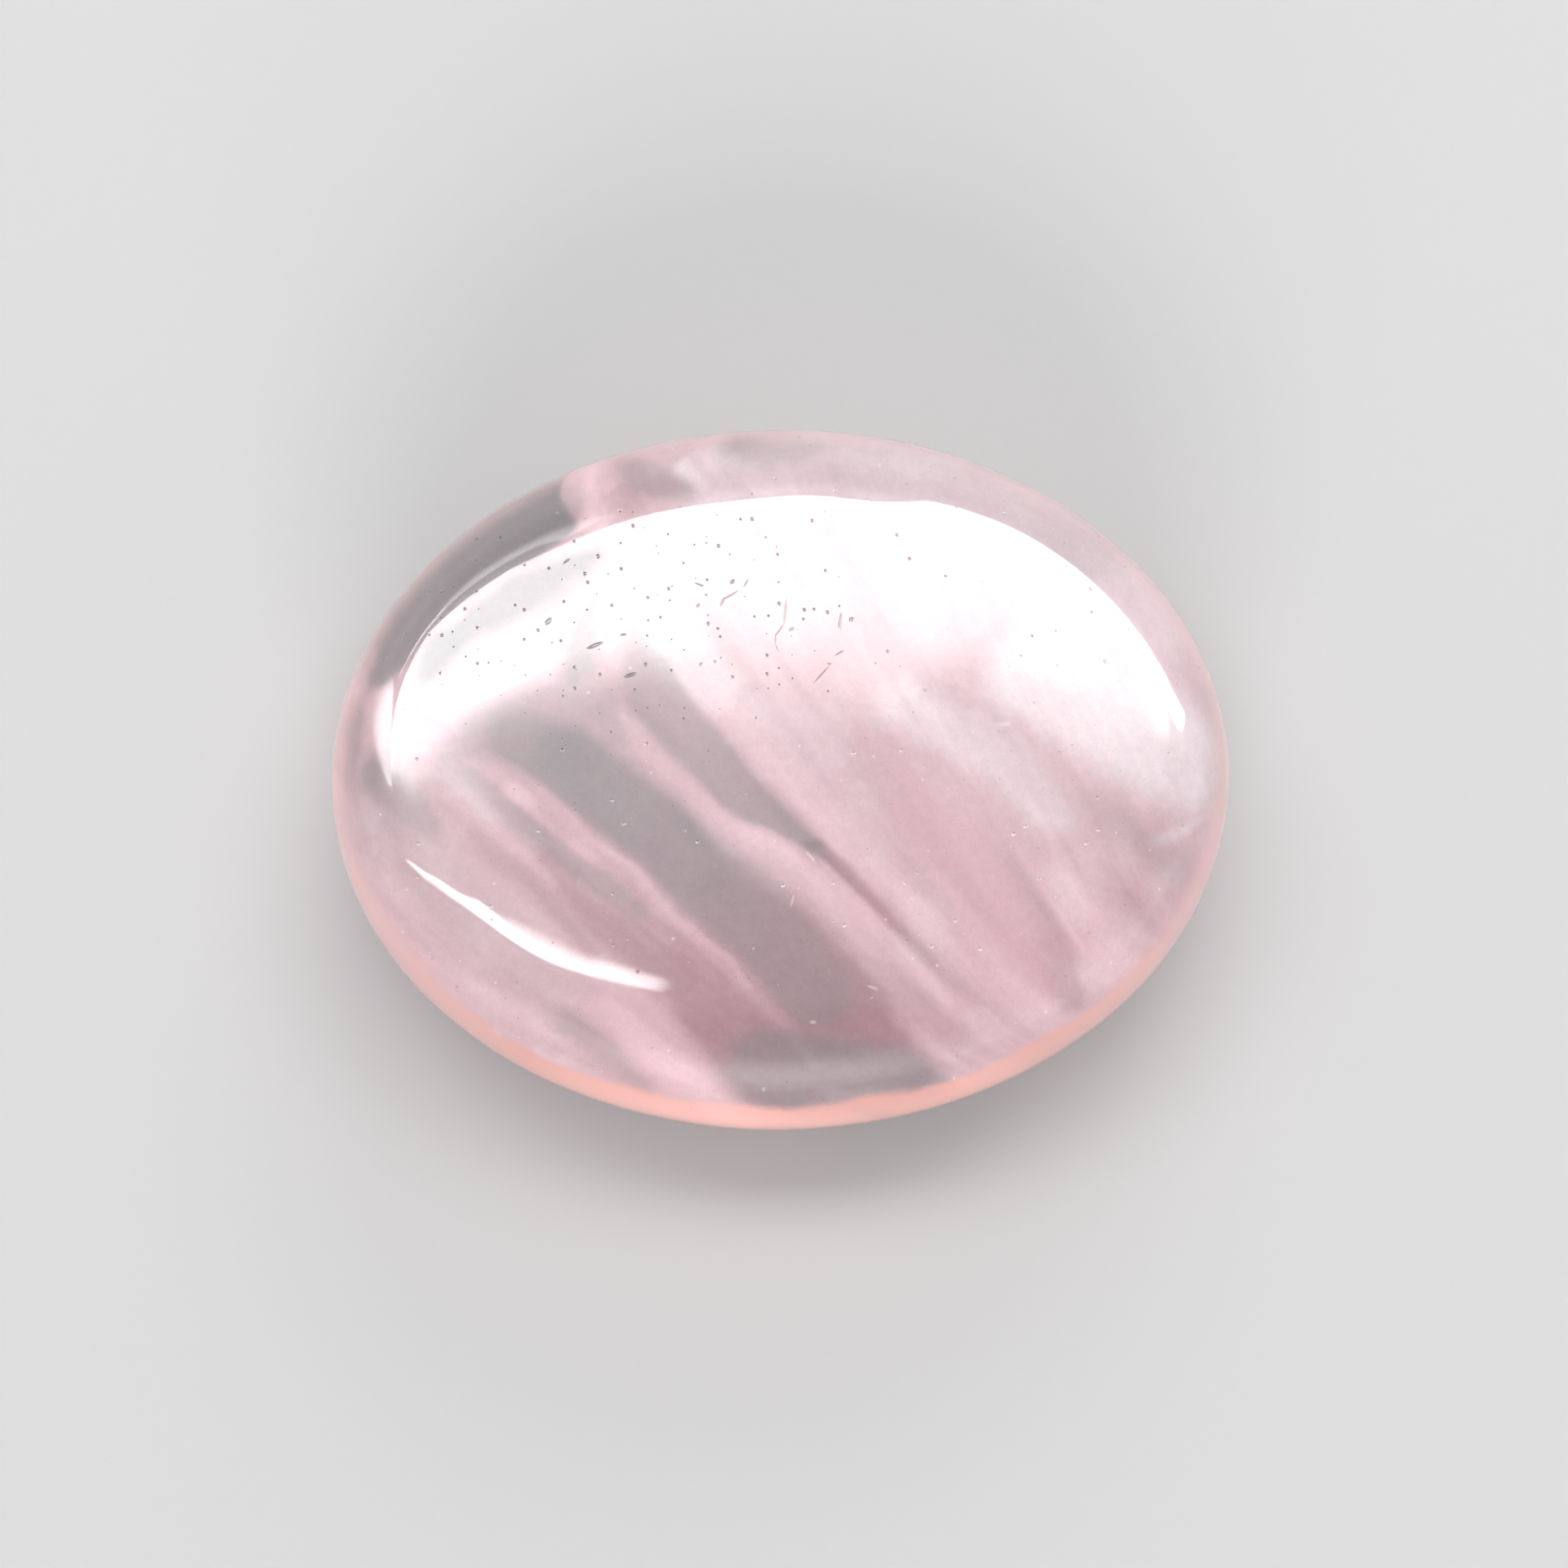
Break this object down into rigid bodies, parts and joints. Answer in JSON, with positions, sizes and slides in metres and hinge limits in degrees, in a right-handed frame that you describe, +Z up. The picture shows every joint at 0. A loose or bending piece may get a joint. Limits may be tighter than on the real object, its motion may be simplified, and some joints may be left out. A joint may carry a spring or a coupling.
{
  "type": "crystal palm stone",
  "caption": "Polished oval rose quartz palm stone, pillow-shaped with a rounded edge, resting on a small flat spot.",
  "frame": {"origin": "middle of the flat spot that the stone rests on, below the middle of its outline", "axes": "+X along the stone's long axis, +Y across it, +Z up through its crown"},
  "size_m": [0.06, 0.048, 0.015],
  "materials": {
    "rose_quartz": "polished milky pink crystal, slightly see-through, with paler and greyer bands"
  },
  "bodies": {
    "root": {"palm_stone": "rose_quartz"}
  },
  "joints": []
}
